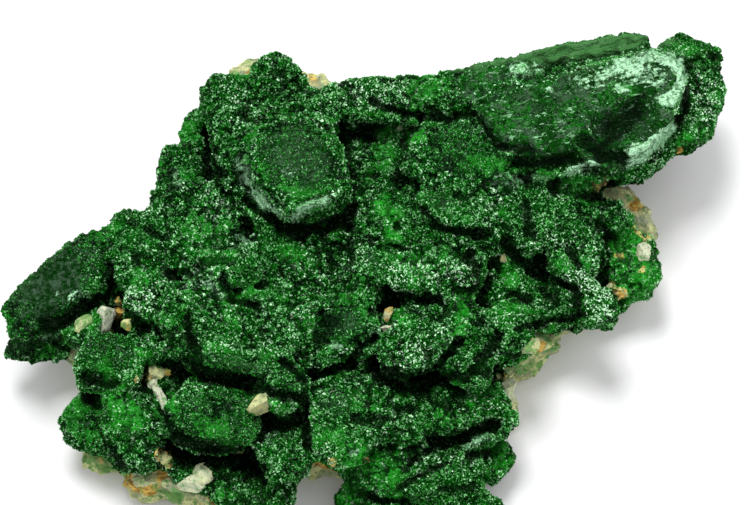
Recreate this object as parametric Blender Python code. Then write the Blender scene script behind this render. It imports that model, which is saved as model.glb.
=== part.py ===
"""Mineral specimen: blades of malachite after azurite, grown together on a slab of host rock.

Two solids: the malachite, whose plates, prisms and crust grew into one another, and the pale
rock that they grew on. Lengths in the tables are millimetres, measured from above with +X to the
right and +Y to the back, and heights are taken from the surface that the specimen lies on.
"""
import math
import random
from collections import namedtuple

import bmesh
import bpy
from mathutils import Vector, noise

MM = 0.001
CROWN_INSET = 1.1          # width of the bevel round a plate's top face
CROWN_DROP = 0.9           # how far the bevel falls
NECK_DROP = 2.5            # height of the slope from a plate's underside in to its root
ROOT_WIDTH = 0.62          # share of the plate's outline that its root keeps
ROOT_FOOT = 6.5            # height of the lowest point of a root, inside the crust
SMALL = 6.0                # a plate or knob shorter than this each way from its middle has fewer corners
FEW_CORNERS = 7
CORNERS = 9
ROUGHNESS = 0.09           # how unevenly a broken outline runs, as a share of its radius
GAP = 0.4                  # space kept between the malachite and the rock
ROCK_CENTRE = (-6.0, -4.0)
CRUST_CENTRE = (-6.0, -6.0)

Plate = namedtuple("Plate", "name at outline top lean thick root")
Knob = namedtuple("Knob", "at half top")


def superellipse(half, heading, square, chance):
    """Corners of a rounded, uneven outline round the origin, counter-clockwise."""
    turn = math.radians(heading)
    count = FEW_CORNERS if max(half) < SMALL else CORNERS
    corners = []
    for index in range(count):
        angle = 2 * math.pi * (index + chance.uniform(-0.25, 0.25)) / count
        wobble = 1 + chance.uniform(-ROUGHNESS, ROUGHNESS)
        along = half[0] * wobble * math.copysign(abs(math.cos(angle)) ** (2 / square), math.cos(angle))
        across = half[1] * wobble * math.copysign(abs(math.sin(angle)) ** (2 / square), math.sin(angle))
        corners.append((along * math.cos(turn) - across * math.sin(turn),
                        along * math.sin(turn) + across * math.cos(turn)))
    return corners


def plate(name, at, half, heading, top, lean=(0.0, -0.1), thick=6, root=None, square=3.0):
    """A plate whose outline is a broken oval or a broken slab."""
    outline = superellipse(half, heading, square, random.Random(name))
    return Plate(name, at, outline, top, lean, thick, root)


def drawn(name, corners, top, lean=(0.0, -0.1), thick=6, root=None):
    """A plate with corners of its own, counter-clockwise or clockwise."""
    at = (sum(x for x, y in corners) / len(corners), sum(y for x, y in corners) / len(corners))
    outline = [(x - at[0], y - at[1]) for x, y in corners]
    area = sum(a[0] * b[1] - b[0] * a[1] for a, b in zip(outline, outline[1:] + outline[:1]))
    return Plate(name, at, outline if area > 0 else outline[::-1], top, lean, thick, root)


# The long striated crystal at the back right, its druzy wrapping and the ledges below it.
LONG_CRYSTAL = [
    drawn("long_crystal", [(20, 22.5), (31, 30.5), (36, 33.5), (55, 37.5), (60.5, 36.5), (62.5, 31),
                           (59, 21), (53, 13.5), (45, 10), (30, 11), (24.5, 14), (21.5, 18.5)],
          top=33, lean=(0.02, -0.10), thick=9, root=(-3, 0)),
    plate("long_crystal_back", (41, 37.3), (16, 3.4), 12, top=30, lean=(0, 0.15), thick=8, root=(0, -3)),
    plate("long_crystal_back_end", (56, 37.8), (7.5, 2.8), 4, top=27, lean=(0, 0.1), root=(0, -3)),
    plate("long_crystal_left", (22.5, 30), (13.5, 6.4), 12, top=30, lean=(0.03, 0.05), thick=7, root=(0, 0)),
    plate("end_crust", (62.3, 33), (12.6, 8.5), 82, top=25, lean=(0, -0.06), thick=8, root=(-9, -6)),
    plate("lower_crust", (53.5, 19.3), (9, 5.5), 42, top=24, lean=(0, -0.12), thick=4, root=(-8, -1)),
    plate("long_crystal_ledge", (36.5, 14.5), (13.5, 3.6), 0, top=25, lean=(0.02, -0.1), thick=6),
    plate("under_arm", (45.5, 27.5), (15, 8.5), 35, top=21, lean=(0, 0), thick=5, root=(-8, -6)),
    plate("saddle_slab", (17.5, 16.3), (12, 7.6), -6, top=28, lean=(0.03, -0.12), root=(0, 1)),
    plate("back_edge", (3, 31), (17.5, 5.6), 4, top=24, lean=(0.02, 0), thick=9),
]

# The boulder-shaped crystal and the plates of the back left corner.
BACK_LEFT = [
    drawn("boulder", [(-25.5, 13), (-23.5, 19), (-14.5, 23), (-9, 21), (-6.5, 14.5), (-4, 5),
                      (-10, 1.5), (-17, 1), (-23, 6.5)],
          top=34, lean=(0.10, -0.02), thick=9, root=(1, 2)),
    plate("boulder_foot", (-15.5, 9.3), (12, 8.8), -12, top=25, lean=(0, -0.05)),
    drawn("peak", [(-25.5, 39), (-23, 42), (-20.5, 43), (-18, 42), (-15, 39), (-12.5, 35),
                   (-12.5, 29.5), (-19, 28), (-25.5, 30)],
          top=22.5, lean=(0, 0.1), thick=7, root=(0, -3)),
    plate("back_left_block", (-29.5, 33.5), (6.6, 5.4), -5, top=21, lean=(-0.05, 0.05), root=(3, -2)),
    plate("left_knuckle", (-36.5, 28.5), (5.6, 3.4), 80, top=15, lean=(-0.15, 0), root=(3, 0)),
    plate("ear", (-38.3, 17), (7.6, 6.2), 85, top=17, lean=(-0.2, 0), root=(3, 0)),
    drawn("leaning_slab", [(-33.5, 24), (-30, 27.5), (-25, 28.5), (-22, 23), (-24.5, 17.5), (-28.5, 8),
                           (-32, 13)],
          top=28, lean=(0.10, -0.05), thick=5, root=(0, 1)),
    plate("crest", (-16, 26), (9.5, 3.6), 8, top=25, lean=(0, 0.1), thick=8),
]

# The arm that reaches out to the left and the domes at its root.
LEFT_ARM = [
    drawn("arm", [(-50, 2), (-57, 1.2), (-69, -9), (-72.5, -15), (-70.5, -21.5), (-65, -22),
                  (-54, -12), (-49.5, -5)],
          top=23, lean=(0.10, 0.02), thick=7, root=(12, 6)),
    plate("arm_ledge", (-64, -18.6), (10, 2.8), 8, top=13, lean=(0, -0.1), thick=4, root=(6, 1)),
    plate("arm_shelf", (-57.5, -12), (9.5, 7), 25, top=10, lean=(0, 0), thick=4),
    plate("arm_knob", (-56.5, -16.5), (5.2, 2.8), 55, top=20, lean=(0, -0.1), thick=8),
    plate("left_dome", (-35.5, 5.5), (10, 8.4), 0, top=22, lean=(-0.08, -0.05), thick=7, root=(1, 0)),
    plate("arm_root", (-45.5, -3), (10.4, 8), -35, top=22, lean=(-0.05, -0.08), thick=7, root=(2, 1)),
    plate("fan", (-44.5, -15), (4.8, 4.5), 0, top=24.5, lean=(0, -0.2), thick=8),
    plate("disc", (-33.3, -19), (9.2, 7.8), 88, top=26.5, lean=(-0.05, -0.18), thick=8, square=2.4),
    plate("disc_ledge", (-29, -7.5), (7.2, 4.2), 12, top=25, lean=(0.05, -0.15), thick=7),
    plate("ring_cluster", (-38.5, -13.5), (3.6, 3.2), 0, top=24, lean=(-0.1, 0)),
    plate("under_boulder", (-14, -4.5), (12.6, 7), -8, top=22.5, lean=(0, 0.1)),
    plate("middle_left", (-20, -18.5), (9.2, 7.6), 0, top=23.5, lean=(0.02, -0.12)),
]

# The lower left corner, from the lump below the arm to the point at the front.
FRONT_LEFT = [
    plate("lower_left_lump", (-51, -26), (6.8, 6.4), -10, top=22, lean=(-0.05, -0.15), root=(2, 1)),
    plate("small_tab", (-42, -21.5), (4.2, 3.4), 80, top=21, lean=(0.05, -0.1)),
    drawn("corner_plate", [(-61.5, -35.5), (-59.5, -31.5), (-57, -28), (-54, -27.5), (-50, -30.5),
                           (-49, -36), (-50.5, -41), (-53.5, -41.5), (-57.5, -40), (-60.5, -38)],
          top=13.5, lean=(-0.1, -0.1), root=(3, 1)),
    plate("corner_block", (-46.6, -37.2), (9.4, 6), 100, top=18, lean=(0, -0.15), thick=8),
    plate("corner_foot", (-45.8, -42), (6.2, 2.8), -5, top=9, lean=(0, -0.2), thick=5),
    plate("dark_slab", (-30.8, -39), (9.6, 7), -4, top=25, lean=(-0.03, -0.15), thick=6, root=(0, 3)),
    plate("bar_left", (-28.5, -29.3), (7.6, 3), -4, top=28.5, lean=(-0.03, 0.1), thick=6, root=(0, 1)),
    plate("bar_right", (-18.6, -32), (7.6, 5), -60, top=28, lean=(0.03, -0.25), thick=6, root=(0, 2)),
    plate("bottom_point", (-17.3, -42), (8, 5.4), 96, top=20, lean=(0.05, -0.1), thick=8),
    plate("bottom_step", (-33, -45.3), (7.9, 4.2), -15, top=14, thick=6),
    plate("bottom_plate", (-22.9, -50), (8.2, 6.2), -22, top=14, lean=(0, -0.15)),
]

# The field of plates in the middle and on the right, above the shaded front bank.
MIDDLE = [
    plate("upright_left", (-0.7, 4.7), (7, 4.6), 90, top=24, lean=(0.08, 0), thick=6),
    plate("green_face", (-0.8, -7), (6.6, 4.8), 98, top=24.5, lean=(0.12, -0.1), thick=6),
    plate("pit_wall", (7.2, 4.5), (6.8, 4.6), 110, top=24, lean=(-0.08, -0.1), thick=6),
    plate("middle_field", (12.8, -6.8), (10, 7.8), 0, top=25, lean=(0, -0.12), thick=7),
    plate("overhang", (15.8, 3.4), (7.6, 6.3), -12, top=29, lean=(0, -0.12), thick=5, root=(0, 3)),
    plate("right_field", (28, 4), (8.4, 7.8), 0, top=25.5, lean=(0.02, -0.08), thick=8),
    plate("right_slope", (37.8, 0.8), (10.4, 6.8), -65, top=23, lean=(0.05, -0.1), root=(-1, 1)),
    plate("right_tab", (45.2, 6.8), (5, 4), -15, top=21, lean=(0.05, -0.18), root=(-2, 0)),
    plate("right_green_tab", (41, 11), (4.8, 2.6), 0, top=20, lean=(0, 0.1)),
    plate("right_knob", (49, 5.4), (4.4, 3.2), 35, top=16, lean=(0.1, -0.05)),
    plate("hollow_lump", (-6.2, -20), (8, 7.4), 90, top=25.5, lean=(0, -0.08), thick=8),
    plate("hollow_step", (-8.8, -26), (6, 3.2), 0, top=22, lean=(0, -0.15)),
    plate("rubble", (10.5, -17), (4.8, 4.3), 0, top=23.5, lean=(0.05, -0.05)),
    plate("bright_notch", (17, -17.5), (4.6, 3.8), 90, top=22.5, lean=(0, 0.08)),
    drawn("wedge", [(1, -24), (4, -19.5), (6.5, -18), (15.5, -23), (12, -29.5), (5, -32), (1.5, -30.5)],
          top=28, lean=(0, -0.18), thick=6, root=(0, 2)),
    plate("wedge_right", (18.2, -26), (6.2, 5.3), 72, top=25.5, lean=(0.05, -0.2), root=(-1, 2)),
    plate("south_tab", (26.2, -19.5), (7.4, 4.4), 98, top=23, lean=(0.05, -0.15), root=(-1, 1)),
    plate("shaded_block", (32.5, -9.5), (8.8, 6.2), -45, top=18),
    plate("front_right_bar", (40.6, -12.2), (8, 4.2), -45, top=22, lean=(0, -0.2), root=(-2, 2)),
    plate("east_lump", (51, -1.2), (7.3, 6.3), 95, top=15, lean=(0, -0.05), thick=8, square=2.5),
]

# The low bank along the front.
FRONT = [
    plate("plate_rim", (-9, -28.6), (6.6, 3.2), 12, top=20),
    plate("round_plate", (-6, -37.2), (9.8, 7.4), 65, top=22.5, lean=(0, -0.14), root=(0, 2)),
    plate("plate_shoulder", (3.2, -34.3), (7, 4.8), 90, top=20.5, lean=(0.05, -0.1)),
    plate("front_field", (11, -34), (10.4, 7.4), 0, top=18.5, lean=(0.02, -0.14)),
    plate("front_right_field", (20.8, -33.3), (6.9, 5.6), -60, top=16.5, lean=(0.08, -0.12)),
    plate("globules", (-0.7, -43.7), (5.5, 4.9), 0, top=11, lean=(0, -0.15), thick=7, square=2),
    plate("front_dark", (12, -44.3), (9, 6.8), 0, top=14, lean=(0, -0.15)),
    plate("front_right_knob", (23.2, -41), (4.8, 3.8), 60, top=9, lean=(0.1, -0.1)),
    plate("front_toe", (16.8, -52), (8.2, 5.4), -20, top=11, lean=(0.05, -0.1)),
    plate("front_root", (1.5, -51), (9.4, 5), -5, top=8, thick=5),
]

# The edge of the crust that joins the plates, and the edge of the rock under it.
CRUST_RIM = [(55, -4), (54, 3), (46, 15), (40, 31), (30, 38), (20, 41), (5, 39.5), (-9, 38), (-19, 45),
             (-26, 42), (-34, 38), (-38, 28), (-42, 19), (-44, 10), (-53, 4.5), (-55, -9), (-57, -19),
             (-57.5, -29), (-59, -36), (-47, -44), (-35, -45), (-27, -51), (-19, -51), (-12, -41),
             (-4, -46), (5, -54), (19, -52), (24, -41), (26, -26), (38, -13), (51, -9)]
CRUST_LEVELS = [(0.0, 20.5), (0.3, 20.0), (0.55, 18.5), (0.78, 15.5), (0.93, 11.5), (1.0, 8.0), (0.97, 4.5)]
ROCK_RIM = [(57, 0), (57, 8), (54.5, 18), (42, 26), (32, 34.5), (12, 42.5), (-8, 45), (-15, 48.5),
            (-26, 50), (-34, 40), (-37, 27), (-43, 15), (-50, 2), (-56, -7), (-58.5, -16), (-57.5, -27),
            (-58, -37), (-52, -42), (-41, -47.5), (-28, -49), (-19, -45), (-11, -41), (-5, -44),
            (3, -50), (18, -48), (22, -37), (28, -25), (38, -13), (50, -5.5)]
ROCK_LEVELS = [(0.0, 11.0), (0.35, 10.5), (0.65, 10.0), (0.86, 9.0), (0.97, 6.5), (1.0, 3.0), (0.94, 0.0)]

# Lumps of the rock that stand out from under the malachite round its edge.
KNOBS = [
    Knob((-26, 46), (5.5, 5), 9), Knob((-13.5, 44), (5, 4), 7), Knob((48, 13), (7, 6), 14),
    Knob((53.5, 9), (4.5, 5), 10), Knob((29.5, -18.5), (7, 6), 13), Knob((24.5, -26.5), (5.5, 6), 8),
    Knob((-9.5, -39), (6, 4), 6), Knob((-30, -47.5), (5, 5), 8), Knob((-43.5, -43.5), (6.5, 5), 8),
    Knob((-36, -44.5), (7.5, 5.5), 9), Knob((-53.5, -38.5), (4.5, 4), 6), Knob((-56.5, -17), (5, 6), 15),
    Knob((-1, -46), (5, 4), 5),
]


def solid(name, rings, pole=None):
    """A closed object skinned over rings of points, top ring first, with a point or a face on top."""
    shape = bmesh.new()
    rows = [[shape.verts.new(Vector(point) * MM) for point in ring] for ring in rings]
    for upper, lower in zip(rows, rows[1:]):
        for index in range(len(upper)):
            after = (index + 1) % len(upper)
            shape.faces.new((upper[index], lower[index], lower[after], upper[after]))
    if pole is None:
        shape.faces.new(rows[0])
    else:
        tip = shape.verts.new(Vector(pole) * MM)
        for index in range(len(rows[0])):
            shape.faces.new((tip, rows[0][index], rows[0][(index + 1) % len(rows[0])]))
    shape.faces.new(rows[-1][::-1])
    bmesh.ops.triangulate(shape, faces=shape.faces[:])
    bmesh.ops.recalc_face_normals(shape, faces=shape.faces[:])
    mesh = bpy.data.meshes.new(name)
    shape.to_mesh(mesh)
    shape.free()
    made = bpy.data.objects.new(name, mesh)
    bpy.context.collection.objects.link(made)
    return made


def plate_solid(crystal):
    """A bevelled plate on a narrower root, so that its edges overhang the crust."""
    chance = random.Random(crystal.name + " sides")
    reach = max(math.hypot(x, y) for x, y in crystal.outline)
    inset = 1 - CROWN_INSET / (0.7 * reach)

    def level(share, drop, shift=(0, 0), rough=0.0):
        points = []
        for x, y in crystal.outline:
            grown = share * (1 + chance.uniform(-rough, rough))
            x_here, y_here = x * grown + shift[0], y * grown + shift[1]
            height = crystal.top + crystal.lean[0] * x_here + crystal.lean[1] * y_here - drop
            points.append((crystal.at[0] + x_here, crystal.at[1] + y_here, height))
        return points

    rings = [level(inset, 0), level(1, CROWN_DROP), level(0.97, crystal.thick, rough=0.04)]
    if crystal.root:
        neck = min(crystal.thick + NECK_DROP, crystal.top - ROOT_FOOT - 1)
        rings.append(level(ROOT_WIDTH, neck, crystal.root))
        rings.append([(x, y, ROOT_FOOT) for x, y, z in rings[-1]])
    return solid(crystal.name, rings)


def bank(name, rim, levels, centre, grow=0.0, bumps=1.2):
    """A rough mound: the rim drawn in towards the centre, level by level, with a flat underside."""
    rings = []
    for share, height in levels[1:]:
        ring = []
        for x, y in rim:
            away = Vector((x - centre[0], y - centre[1]))
            away = away * share + away.normalized() * grow
            flat = height == levels[-1][1]
            bump = 0 if flat else bumps * noise.noise(Vector((away.x, away.y, height)) / 7)
            ring.append((centre[0] + away.x, centre[1] + away.y, height + bump + (-grow if flat else grow)))
        rings.append(ring)
    return solid(name, rings, pole=(centre[0], centre[1], levels[0][1] + grow))


def knob_solid(name, knob, grow=0.0):
    """A blunt many-sided lump."""
    half = (knob.half[0] + grow, knob.half[1] + grow)
    outline = superellipse(half, 0, 2.2, random.Random(name))
    rings = [[(knob.at[0] + x * share, knob.at[1] + y * share, z) for x, y in outline]
             for share, z in ((0.45, knob.top + grow), (0.85, knob.top * 0.8 + grow), (1.0, knob.top * 0.4),
                              (0.8, 1.0))]
    return solid(name, rings)


def join(base, pieces, operation):
    """Run an exact Boolean of the base with a group of solids, and drop the group."""
    group = bpy.data.collections.new(base.name + " pieces")
    for piece in pieces:
        group.objects.link(piece)
    modifier = base.modifiers.new("join", "BOOLEAN")
    modifier.operation = operation
    modifier.solver = "EXACT"
    modifier.use_self = True
    modifier.operand_type = "COLLECTION"
    modifier.collection = group
    bpy.context.view_layer.update()
    made = bpy.data.meshes.new_from_object(base.evaluated_get(bpy.context.evaluated_depsgraph_get()))
    base.modifiers.remove(modifier)
    base.data = made
    for piece in pieces:
        bpy.data.objects.remove(piece)
    bpy.data.collections.remove(group)


def keep_largest_shell(made):
    """Keep the outer skin alone: crumbs cut loose and voids sealed inside it go."""
    shape = bmesh.new()
    shape.from_mesh(made.data)
    waiting = set(shape.verts)
    shells = []
    while waiting:
        shell = [waiting.pop()]
        for vertex in shell:
            for edge in vertex.link_edges:
                other = edge.other_vert(vertex)
                if other in waiting:
                    waiting.remove(other)
                    shell.append(other)
        shells.append(shell)
    shells.sort(key=len)
    bmesh.ops.delete(shape, geom=[vertex for shell in shells[:-1] for vertex in shell], context="VERTS")
    bmesh.ops.triangulate(shape, faces=shape.faces[:])
    shape.to_mesh(made.data)
    shape.free()


def stone(name, colour, roughness):
    material = bpy.data.materials.new(name)
    material.use_nodes = True
    shader = material.node_tree.nodes["Principled BSDF"]
    shader.inputs["Base Color"].default_value = (*colour, 1)
    shader.inputs["Roughness"].default_value = roughness
    shader.inputs["Metallic"].default_value = 0
    return material


def build_rock(name, grow=0.0):
    """The slab of host rock with its knobs, in one solid."""
    slab = bank(name, ROCK_RIM, ROCK_LEVELS, ROCK_CENTRE, grow)
    knobs = [knob_solid(f"knob_{index}", knob, grow) for index, knob in enumerate(KNOBS)]
    join(slab, knobs, "UNION")
    return slab


def build_malachite():
    """The crust and every plate on it, in one solid that fits over the rock."""
    crust = bank("malachite", CRUST_RIM, CRUST_LEVELS, CRUST_CENTRE)
    plates = LONG_CRYSTAL + BACK_LEFT + LEFT_ARM + FRONT_LEFT + MIDDLE + FRONT
    join(crust, [plate_solid(crystal) for crystal in plates], "UNION")
    join(crust, [build_rock("rock_space", GAP)], "DIFFERENCE")
    keep_largest_shell(crust)
    return crust


for startup_object in list(bpy.data.objects):
    bpy.data.objects.remove(startup_object)

matrix = build_rock("matrix")
keep_largest_shell(matrix)
matrix.data.materials.clear()
matrix.data.materials.append(stone("host_rock", (0.62, 0.52, 0.36), 0.9))

malachite = build_malachite()
malachite.data.materials.clear()
malachite.data.materials.append(stone("malachite", (0.01, 0.07, 0.03), 0.45))

# The origin is the middle of the specimen's box, on the surface that it lies on.
corners = [vertex.co for made in (matrix, malachite) for vertex in made.data.vertices]
middle = Vector((sum((min(c[axis] for c in corners), max(c[axis] for c in corners))) / 2 for axis in range(2)))
base_level = min(corner.z for corner in corners)
for made in (matrix, malachite):
    for vertex in made.data.vertices:
        vertex.co -= Vector((middle.x, middle.y, base_level))
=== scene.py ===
import math
import random

import bmesh
import bpy
import numpy as np
from mathutils import Matrix, Vector, noise
from mathutils.bvhtree import BVHTree


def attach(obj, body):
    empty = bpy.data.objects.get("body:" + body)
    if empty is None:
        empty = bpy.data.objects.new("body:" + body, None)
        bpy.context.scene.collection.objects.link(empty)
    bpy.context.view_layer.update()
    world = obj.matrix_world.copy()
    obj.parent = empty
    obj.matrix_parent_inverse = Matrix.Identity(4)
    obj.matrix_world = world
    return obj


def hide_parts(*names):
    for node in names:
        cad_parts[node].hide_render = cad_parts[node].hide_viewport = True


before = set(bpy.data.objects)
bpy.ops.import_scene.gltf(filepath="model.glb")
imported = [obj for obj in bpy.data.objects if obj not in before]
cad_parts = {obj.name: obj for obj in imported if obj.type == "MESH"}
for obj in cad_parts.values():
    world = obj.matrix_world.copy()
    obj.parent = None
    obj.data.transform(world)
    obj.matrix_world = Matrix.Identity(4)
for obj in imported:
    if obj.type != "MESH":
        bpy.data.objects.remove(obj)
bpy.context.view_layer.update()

# The white table that the specimen lies on, the studio lights and the camera.
# Two square lamps hang over it, the key lamp a little behind it, in an evenly lit white room.
# The camera looks down at 64 degrees. AIM is the point that it and the lamps face.
MM = 0.001
AIM = Vector((1.0, 3.8, 15.0)) * MM
CAMERA_HEIGHT = math.radians(64)
CAMERA_DISTANCE = 0.45
LENS = 108.0
SENSOR = 36.0
TO_CAMERA = Vector((0, -math.cos(CAMERA_HEIGHT), math.sin(CAMERA_HEIGHT)))
PHOTO_WIDTH = 749
PHOTO_HEIGHT = 505
TABLE_WHITE = (0.86, 0.86, 0.87, 1)
TABLE_GREY = (0.83, 0.83, 0.84, 1)
TABLE_SIZE = 16.0
TABLE_TOP = -0.2 * MM
ROOM_LIGHT = 0.72


class Shade:
    """One socket of a material's nodes. Arithmetic on it adds the Math nodes."""

    def __init__(self, tree, socket):
        self.tree = tree
        self.socket = socket

    def node(self, kind, settings, sockets, output=0):
        """A node of that type: its settings and ramp stops first, then its sockets' values or links."""
        made = self.tree.nodes.new(kind)
        for name, value in settings.items():
            if name == "stops":
                ramp = made.color_ramp
                while len(ramp.elements) < len(value):
                    ramp.elements.new(1.0)
                for element, (position, colour) in zip(ramp.elements, value):
                    element.position = position
                    element.color = colour
            else:
                setattr(made, name, value)
        for name, value in sockets.items():
            if isinstance(value, Shade):
                self.tree.links.new(value.socket, made.inputs[name])
            else:
                made.inputs[name].default_value = value
        return Shade(self.tree, made.outputs[output])

    def math(self, operation, first, second=0.0):
        return self.node("ShaderNodeMath", {"operation": operation}, {0: first, 1: second})

    def __add__(self, other):
        return self.math("ADD", self, other)

    __radd__ = __add__

    def __mul__(self, other):
        return self.math("MULTIPLY", self, other)

    __rmul__ = __mul__

    def __sub__(self, other):
        return self.math("SUBTRACT", self, other)

    def __rsub__(self, other):
        return self.math("SUBTRACT", other, self)

    def ramp(self, low, high):
        """A smooth 0 to 1 between two values."""
        return self.node("ShaderNodeMapRange", {"interpolation_type": "SMOOTHSTEP"},
                         {"Value": self, "From Min": low, "From Max": high})

    def mix(self, first, second):
        """The first colour where this is 0, the second where it is 1."""
        return self.node("ShaderNodeMix", {"data_type": "RGBA"}, {0: self, 6: first, 7: second}, 2)

    def clouds(self, size, detail=3.0, rough=0.55, stretch=(1, 1, 1), turn=0.0):
        """Noise whose patches are about that size across, from object coordinates."""
        spread = self.node("ShaderNodeMapping", {}, {"Vector": self, "Rotation": (0, 0, turn)})
        spread = self.node("ShaderNodeMapping", {}, {"Vector": spread, "Scale": stretch})
        return self.node("ShaderNodeTexNoise", {},
                         {"Vector": spread, "Scale": 1 / size, "Detail": detail, "Roughness": rough})

    def cells(self, size):
        """Distance to the nearest of points strewn about that far apart."""
        return self.node("ShaderNodeTexVoronoi", {}, {"Vector": self, "Scale": 1 / size})

    def value(self, name):
        """A number stored on the mesh."""
        return self.node("ShaderNodeAttribute", {"attribute_name": name}, {}, 2)

    def bump(self, height, depth):
        return self.node("ShaderNodeBump", {}, {"Height": height, "Distance": depth, "Strength": 1.0})


def new_material(name):
    """An empty material, its shader and its object coordinates."""
    material = bpy.data.materials.new(name)
    material.use_nodes = True
    tree = material.node_tree
    shader = tree.nodes["Principled BSDF"]
    return material, shader, Shade(tree, tree.nodes.new("ShaderNodeTexCoord").outputs["Object"])


def feed(shader, socket, value):
    value.tree.links.new(value.socket, shader.inputs[socket])


table_white, shader, place = new_material("table_white")
feed(shader, "Base Color", (place.clouds(0.2, 2) * 0.3).mix(TABLE_WHITE, TABLE_GREY))
shader.inputs["Roughness"].default_value = 0.9
shader.inputs["Specular IOR Level"].default_value = 0.2

bpy.ops.mesh.primitive_plane_add(size=TABLE_SIZE, location=(0, 0, 0))
table = bpy.context.object
table.name = "table_top"
table.data.transform(Matrix.Translation((0, 0, TABLE_TOP)))
table.data.materials.append(table_white)


def new_object(name, data):
    """An object in the scene that holds that mesh, lamp or camera."""
    made = bpy.data.objects.new(name, data)
    bpy.context.scene.collection.objects.link(made)
    return made


def softbox(name, direction, distance, size, power):
    """A square lamp that faces the specimen from that direction."""
    lamp = bpy.data.lights.new(name, "AREA")
    lamp.size = size
    lamp.energy = power
    made = new_object(name, lamp)
    away = Vector(direction).normalized()
    made.location = AIM + away * distance
    made.rotation_euler = away.to_track_quat("Z", "Y").to_euler()


softbox("key", direction=(-0.15, 0.30, 1.0), distance=0.9, size=0.30, power=6.2)
softbox("overhead", direction=(0.5, 0.1, 1.0), distance=1.0, size=0.7, power=1.5)

world = bpy.data.worlds.new("studio")
world.use_nodes = True
world.node_tree.nodes["Background"].inputs["Color"].default_value = (1, 1, 1, 1)
world.node_tree.nodes["Background"].inputs["Strength"].default_value = ROOM_LIGHT
bpy.context.scene.world = world
bpy.context.scene.view_settings.view_transform = "Standard"

camera = bpy.data.cameras.new("camera")
camera.lens = LENS
camera.sensor_width = SENSOR
eye = new_object("camera", camera)
eye.location = AIM + TO_CAMERA * CAMERA_DISTANCE
eye.rotation_euler = TO_CAMERA.to_track_quat("Z", "Y").to_euler()
bpy.context.scene.camera = eye

# The host rock: a slab of cream to grey rock, stained ochre by iron and green by copper.
# It broke out of the vein with the malachite on it, and shows round the rim of the crust.
# Its mesh is the CAD solid rebuilt in small even faces and roughened. Heights are in mm.
ROCK_FACE = 0.6 * MM
ROCK_LUMPS = [(0.9, 6 * MM, 0.0), (0.55, 2.4 * MM, 4.0), (0.30, 1.1 * MM, 8.0)]
ROCK_FACET_HEIGHT = 1.1
ROCK_LEDGE_HEIGHT = 1.1
ROCK_LEDGE_STEP = 2.2 * MM
ROCK_CREAM = (0.62, 0.64, 0.30, 1)
ROCK_GREY = (0.28, 0.33, 0.18, 1)
ROCK_WHITE = (0.74, 0.80, 0.60, 1)
ROCK_OCHRE = (0.76, 0.50, 0.11, 1)
ROCK_BROWN = (0.36, 0.20, 0.04, 1)
ROCK_COPPER = (0.09, 0.32, 0.06, 1)
ROCK_PIT = (0.06, 0.07, 0.03, 1)

# The tilts of facets and the bends of cracks come from this seed. Without it they come from the clock.
NOISE_SEED = 5
noise.seed_set(NOISE_SEED)


def merged_copy(node, name):
    """A copy of a CAD solid with its loose triangles joined, as an object of its own."""
    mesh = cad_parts[node].data.copy()
    shape = bmesh.new()
    shape.from_mesh(mesh)
    bmesh.ops.remove_doubles(shape, verts=shape.verts[:], dist=1e-6)
    shape.to_mesh(mesh)
    shape.free()
    mesh.materials.clear()
    return new_object(name, mesh)


def work(piece, steps):
    """Run the piece through those modifiers and keep the result as its plain mesh."""
    for kind, settings in steps:
        step = piece.modifiers.new(kind, kind)
        for setting, value in settings.items():
            setattr(step, setting, value)
    fine = bpy.data.meshes.new_from_object(piece.evaluated_get(bpy.context.evaluated_depsgraph_get()))
    piece.modifiers.clear()
    piece.data = fine


def surface(piece):
    """The places and normals of a mesh's points, as two arrays."""
    mesh = piece.data
    places = np.empty(len(mesh.vertices) * 3, np.float32)
    normals = np.empty(len(mesh.vertices) * 3, np.float32)
    mesh.vertices.foreach_get("co", places)
    mesh.vertex_normals.foreach_get("vector", normals)
    return places.reshape(-1, 3).astype(float), normals.reshape(-1, 3).astype(float)


def lumps(places, size, shift=0.0):
    """Smooth noise from -1 to 1 at each place, with lumps about that size across."""
    away = Vector((shift, 0, 0))
    return np.array([noise.noise(Vector(place) + away) for place in places / size])


def facets(places, size, shift):
    """Flat facets at odd angles, about that size across: each place's height on its facet, in sizes."""
    heights = np.empty(len(places))
    for number, place in enumerate(places / size + shift):
        centre = noise.voronoi(Vector(place))[1][0]
        tilt = noise.noise_vector(centre * 13.7)
        heights[number] = (Vector(place) - centre).dot(tilt) + 0.6 * noise.noise(centre * 9.1)
    return heights


def move(piece, steps):
    """Move each point by its own step."""
    places = surface(piece)[0]
    piece.data.vertices.foreach_set("co", (places + steps).astype(np.float32).ravel())
    piece.data.update()


def keep_values(piece, name, values):
    """Store one number for each point, for the materials to read."""
    attribute = piece.data.attributes.new(name, "FLOAT", "POINT")
    attribute.data.foreach_set("value", np.clip(values, 0, 1).astype(np.float32))


def step_between(low, high, values):
    """0 below low, 1 above high, and a smooth ramp between them."""
    share = np.clip((values - low) / (high - low), 0, 1)
    return share * share * (3 - 2 * share)


def seen(places):
    """Where each place shows in the photograph: pixels across and pixels down."""
    off = places - np.array(AIM)
    up = off[:, 1] * math.sin(CAMERA_HEIGHT) + off[:, 2] * math.cos(CAMERA_HEIGHT)
    away = CAMERA_DISTANCE - off @ np.array(TO_CAMERA)
    scale = PHOTO_WIDTH * LENS / SENSOR / away
    return np.stack([PHOTO_WIDTH / 2 + off[:, 0] * scale, PHOTO_HEIGHT / 2 - up * scale], axis=1)


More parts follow.
